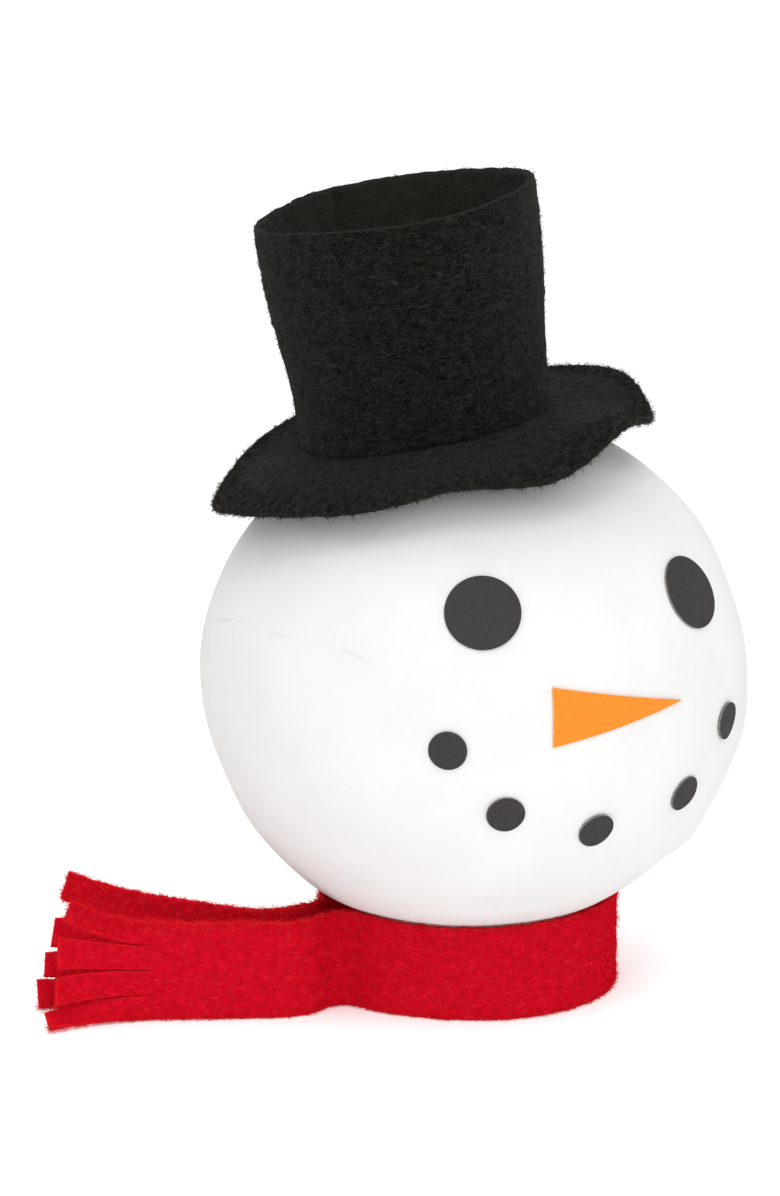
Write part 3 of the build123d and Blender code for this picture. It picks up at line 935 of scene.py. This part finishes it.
def make_crown():
    """A felt strip rolled into a slightly flared tube, lapped and glued down the back."""
    length = CROWN_GIRTH + SEAM_LAP
    runs = spaced(length, CROWN_STEP)
    heights = spaced(CROWN_HEIGHT, CROWN_STEP)
    along, up = np.meshgrid(runs, heights, indexing="ij")

    def middle(run, height):
        angle = SEAM_ANGLE + run / CROWN_GIRTH * 360.0
        turn = np.radians(angle)[..., None]
        way = np.cos(turn) * CROWN_RIGHT + np.sin(turn) * CROWN_BACK
        lap = smooth_step(run, CROWN_GIRTH - SEAM_STEP, CROWN_GIRTH + 0.5) * (FELT + GLUE_LINE)
        radius = spline(CROWN_HEIGHTS, CROWN_RADII, np.clip(height, 0, CROWN_HEIGHT)) - FELT / 2
        radius = radius + lap + 0.25 * ripple(way * 20 + height[..., None] * CROWN_UP * 0.4, 24.0, 9)
        foot = CROWN_FOOT + way * radius[..., None]
        off = foot - BALL_CENTRE
        flat_radius = np.linalg.norm(off - (off @ HEAD_UP)[..., None] * HEAD_UP, axis=-1)
        flat_angle = np.degrees(np.arctan2(off @ HAT_BACK, off @ HAT_RIGHT))
        drop = brim_height(flat_radius, flat_angle) - off @ HEAD_UP
        turn = turn[..., 0]
        rim_wave = RIM_RISE + RIM_TILT * np.cos(turn - RIM_TILT_TOWARDS) + RIM_WAVE * np.sin(3 * turn + 2.0)
        rim_wave = rim_wave + 0.05 * ripple(way * CROWN_RADII[-1], 1.8, 31)
        share = height / CROWN_HEIGHT
        rise = height + drop * (1 - share) + rim_wave * share
        return foot + rise[..., None] * CROWN_UP

    points = middle(along, up)
    normals = surface_normals(middle, along, up)
    from_edge = np.minimum(np.minimum(up, CROWN_HEIGHT - up), np.minimum(along, length - along))
    felt = Felt(points, normals, rounded(from_edge), along, up, seed=74)
    felt.skin()
    crown = felt.make("crown_felt", BLACK_FELT)
    hairs = fuzz(crown, "crown_fuzz", CROWN_FUZZ, BLACK_FIBRE, 83, comb=CROWN_UP)
    on_hat(crown, hairs, "hat_crown")


make_brim()
make_crown()

# ---- The scarf ----

SCARF_TURN = radians(-30.0)
SCARF_X = np.array((cos(SCARF_TURN), sin(SCARF_TURN), 0.0))
SCARF_Y = np.array((-sin(SCARF_TURN), cos(SCARF_TURN), 0.0))
UPWARDS = np.array((0.0, 0.0, 1.0))
LOOP_RADIUS = 24.25
STRIP_HEIGHT = 16.9
# The ball rests over the loop's inner edge, which is this share of the way out to the cloth's middle
INNER_EDGE = 0.975
SEAT_GAP = 0.15
# Behind, the top edge dips to clear a swelling of the ball when the head is turned round: how deep, and
# where and how wide in degrees round the object
DIP_DEPTH, DIP_WAY, DIP_SPREAD = 0.9, 140.0, 21.0
EDGE_RIPPLE = 0.05
# The foot stands just off the floor, and further off it in a few places
FOOT_GAP, FOOT_WAVE = 0.1, 0.12
STRANDS = 4
STRAND_LENGTH = 16.0
# The strip is in two pieces, which meet behind, at this angle of the scarf's plan
MEETING_ANGLE = 62.0


def arc_points(first, last, count):
    """Places on the loop in the scarf's plan, between two angles in degrees."""
    turns = np.radians(np.linspace(first, last, count))
    return [(LOOP_RADIUS * cos(turn), LOOP_RADIUS * sin(turn)) for turn in turns]


# Each half: the plan of the strip round the loop, then its foot and its top through the pinch and along the
# tail with the top's height, then each strand's free end, lower corner and upper corner, from the foot up
FRONT_HALF = {
    "loop": arc_points(MEETING_ANGLE, -104.0, 8) + [(-12.6, -21.4), (-17.2, -18.9), (-21.5, -16.4)],
    "pinch": (-24.3, -17.4),
    "foot": [(-24.3, -17.4), (-27.2, -20.8), (-30.6, -22.8), (-37.6, -23.8), (-45.2, -24.5), (-55.3, -25.3),
             (-63.0, -27.2), (-70.4, -30.6)],
    "top": [(-24.3, -17.4), (-27.2, -20.6), (-30.6, -22.5), (-37.6, -23.2), (-45.2, -23.9), (-55.3, -24.6),
            (-63.0, -25.0), (-69.4, -25.6)],
    "top_height": [16.9, 16.9, 16.9, 17.0, 17.1, 17.6, 18.5, 19.6],
    "strand_ends": [
        ((-70.8, -33.2, 0.9), (-72.0, -29.9, 2.6)),
        ((-70.1, -31.4, 4.3), (-70.1, -29.4, 8.9)),
        ((-69.8, -28.9, 10.1), (-69.8, -27.2, 15.3)),
        ((-68.5, -27.6, 18.4), (-67.6, -25.2, 21.2)),
    ],
}
BACK_HALF = {
    "loop": arc_points(MEETING_ANGLE, 135.0, 4) + [(-22.6, 12.0), (-25.6, 5.5), (-26.0, -1.0)],
    "pinch": (-25.9, -14.9),
    "foot": [(-24.9, -7.2), (-23.5, -12.2), (-24.2, -14.3), (-26.4, -14.9), (-31.5, -15.9), (-40.0, -17.6),
             (-48.0, -18.3), (-56.0, -18.6), (-65.0, -19.0), (-73.6, -19.9)],
    "top": [(-25.6, -6.0), (-26.1, -9.2), (-27.4, -11.2), (-29.6, -13.3), (-34.0, -16.0), (-39.6, -16.1),
            (-46.5, -14.7), (-55.0, -12.4), (-62.6, -10.4), (-70.2, -8.2)],
    "top_height": [16.9, 16.9, 16.9, 17.0, 17.1, 17.3, 17.8, 18.5, 19.3, 20.4],
    "strand_ends": [
        ((-73.9, -20.2, 0.4), (-74.4, -17.6, 4.8)),
        ((-73.2, -17.2, 5.0), (-73.1, -15.0, 8.8)),
        ((-72.3, -13.9, 9.3), (-71.6, -11.5, 13.9)),
        ((-70.8, -10.6, 17.0), (-69.3, -8.2, 21.3)),
    ],
}


def scarf_place(plan, height):
    """Places in the object's frame, from the scarf's plan and a height."""
    return plan[..., :1] * SCARF_X + plan[..., 1:2] * SCARF_Y + height[..., None] * UPWARDS


def ball_underside(places):
    """The height of the ball's lower face over places in plan, or far up where there is none."""
    height = np.full(places.shape[:-1], BALL_CENTRE[2] - 0.6 * BALL_RADIUS)
    for _ in range(6):
        ways = unit(np.concatenate([places[..., :2], height[..., None]], axis=-1) - BALL_CENTRE)
        flat = np.linalg.norm(places[..., :2], axis=-1)
        radius = np.maximum(oval_radius(ways), flat + 0.5)
        height = BALL_CENTRE[2] - np.sqrt(radius**2 - flat**2)
    return height


def make_half(name, half, cad_nodes, seed):
    """Half of the scarf: its part of the loop, and a tail cut into strands."""
    foot_plan = np.array(half["loop"] + half["foot"])
    top_plan = np.array(half["loop"] + half["top"])
    tops = np.array([STRIP_HEIGHT] * len(half["loop"]) + half["top_height"])
    runs_between = np.linalg.norm(np.diff((foot_plan + top_plan) / 2, axis=0), axis=1)
    knots = np.concatenate([[0], np.cumsum(runs_between)])
    length = knots[-1]
    root = length - STRAND_LENGTH
    width = STRIP_HEIGHT
    strand_width = width / STRANDS

    def strip(run, across):
        """The middle of the uncut felt."""
        share = (across / width)[..., None]
        foot, top = spline(knots, foot_plan, run), spline(knots, top_plan, run)
        plan = foot * (1 - share) + top * share
        inner_edge = scarf_place(top * INNER_EDGE, 0 * run)
        ragged = EDGE_RIPPLE * ripple(scarf_place(top, 0 * run), 2.1, seed + 6)
        off_dip = np.degrees(np.arctan2(inner_edge[..., 1], inner_edge[..., 0])) - DIP_WAY
        gap = SEAT_GAP + DIP_DEPTH * np.exp(-((off_dip / DIP_SPREAD) ** 2))
        tall = np.minimum(ball_underside(inner_edge) - gap, spline(knots, tops, run)) + ragged
        off_floor = np.maximum(ripple(scarf_place(foot, 0 * run), 21.0, seed + 5, waves=8), 0)
        lift = FOOT_GAP + FOOT_WAVE * off_floor
        return scarf_place(plan, lift * (1 - share[..., 0]) + tall * share[..., 0])

    def cloth(run, across, strand):
        """The middle of the felt; past the root each strand leans to where its end lies."""
        place = strip(run, across)
        free = np.clip((run - root) / STRAND_LENGTH, 0, 1.05)[..., None] ** 2
        share = across / strand_width - strand
        for number, (low, high) in enumerate(half["strand_ends"]):
            on_it = (strand == number)[..., None]
            ends = []
            for corner, target in ((number, low), (number + 1, high)):
                was = strip(np.array([length]), np.array([corner * strand_width]))[0]
                goal = scarf_place(np.array(target[:2]), np.array(target[2]))
                ends.append(goal - was)
            pull = ends[0] * (1 - share[..., None]) + ends[1] * share[..., None]
            place = place + on_it * free * pull
        return place

    body_runs = spaced(root, FELT_STEP, fine_start=False, fine_end=False)[:-1]
    strand_runs = root + spaced(STRAND_LENGTH, FELT_STEP, fine_start=False)
    runs = np.concatenate([body_runs, strand_runs])
    one_strand = spaced(strand_width, FELT_STEP)
    columns = np.concatenate([k * strand_width + one_strand for k in range(STRANDS)])
    strands = np.repeat(np.arange(STRANDS), len(one_strand))
    along, across = np.meshgrid(runs, columns, indexing="ij")
    strand = np.broadcast_to(strands, along.shape)
    points = cloth(along, across, strand)
    normals = surface_normals(lambda run, rise: cloth(run, rise, strand), along, across)
    in_strand = across - strand * strand_width
    from_slit = np.minimum(in_strand, strand_width - in_strand)
    from_edge = np.minimum(across, width - across)
    fullness = np.where(along > root + 0.01, rounded(from_slit), rounded(from_edge))
    fullness = np.minimum(fullness, rounded(length - along))
    felt = Felt(points, normals, fullness, along, across, seed)
    slits = [k * len(one_strand) - 1 for k in range(1, STRANDS)]
    root_row = int(np.argmin(np.abs(runs - root)))
    for column in slits:
        felt.join(slice(0, root_row + 1), column, column + 1)
    felt.skin(slits)
    felt.cap()
    for column in slits:
        felt.slit_root(root_row, column)
    piece = felt.make(name, RED_FELT)

    def near_edges(places):
        from_middle = np.abs(places[:, 2] - STRIP_HEIGHT / 2) / (STRIP_HEIGHT / 2)
        return STRIP_WEIGHT[0] + STRIP_WEIGHT[1] * smooth_step(from_middle, *STRIP_ZONE)

    fuzz_name = name.replace("felt", "fuzz")
    hairs = fuzz(piece, fuzz_name, SCARF_FUZZ, RED_FIBRE, seed + 50, UPWARDS, near_edges)
    for part in (piece, hairs):
        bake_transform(part)
    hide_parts(*cad_nodes)


make_half("scarf_front_felt", FRONT_HALF, ["scarf_loop", "scarf_front_tail"], 90)
make_half("scarf_back_felt", BACK_HALF, ["scarf_back_tail"], 94)

# ---- Floor, light and camera ----

FLOOR_RADII = (4.9, 8.4)
FLOOR_SIDES = 96
WORLD_STRENGTH = 0.83
# Each lamp's name, place, diameter and power, in metres and watts
LAMPS = (
    ("key", (-0.32, -0.96, 0.50), 0.6, 2.65),
    ("high", (-0.20, -0.62, 1.00), 0.45, 2.3),
    ("top", (0.0, 0.1, 1.1), 0.7, 1.6),
    ("rim", (-0.85, 0.35, 0.75), 0.4, 0.3),
)
LAMP_AIM = (0.0, 0.0, 0.06)
CAMERA_PLACE = (-0.3881, -0.6722, 0.2485)
CAMERA_AIM = (-0.0112, 0.0095, 0.0671)
CAMERA_LENS = 140.3


def make_floor():
    """A pale flat floor, wide enough to fill the view."""
    turns = np.linspace(0, 2 * pi, FLOOR_SIDES + 1)[:-1]
    points, faces = [(0.0, 0.0, 0.0)], []
    for radius in FLOOR_RADII:
        points += [(radius * cos(t) / MM, radius * sin(t) / MM, 0.0) for t in turns]
    for k in range(FLOOR_SIDES):
        inner, after = 1 + k, 1 + (k + 1) % FLOOR_SIDES
        faces.append((0, inner, after))
        faces.append((inner, inner + FLOOR_SIDES, after + FLOOR_SIDES, after))
    floor = mesh_object("floor", np.array(points), faces, PALE_FLOOR)


def look_at(obj, place, aim):
    """Put a lamp or the camera at a place, turned towards another, and into the scene."""
    obj.location = place
    obj.rotation_euler = (Vector(aim) - Vector(place)).to_track_quat("-Z", "Y").to_euler()
    bpy.context.scene.collection.objects.link(obj)


def make_studio():
    """White light from all round, and round soft lamps that aim at the object's middle."""
    world = bpy.data.worlds.new("studio")
    world.use_nodes = True
    background = world.node_tree.nodes["Background"]
    background.inputs["Color"].default_value = (1.0, 1.0, 1.0, 1.0)
    background.inputs["Strength"].default_value = WORLD_STRENGTH
    bpy.context.scene.world = world
    for name, place, size, power in LAMPS:
        lamp = bpy.data.lights.new(name, "AREA")
        lamp.shape, lamp.size, lamp.energy = "DISK", size, power
        look_at(bpy.data.objects.new(name, lamp), place, LAMP_AIM)
    bpy.context.scene.view_settings.view_transform = "Standard"


def make_camera():
    camera = bpy.data.cameras.new("camera")
    camera.lens, camera.clip_start, camera.clip_end = CAMERA_LENS, 0.05, 50.0
    obj = bpy.data.objects.new("camera", camera)
    look_at(obj, CAMERA_PLACE, CAMERA_AIM)
    bpy.context.scene.camera = obj


make_floor()
make_studio()
make_camera()
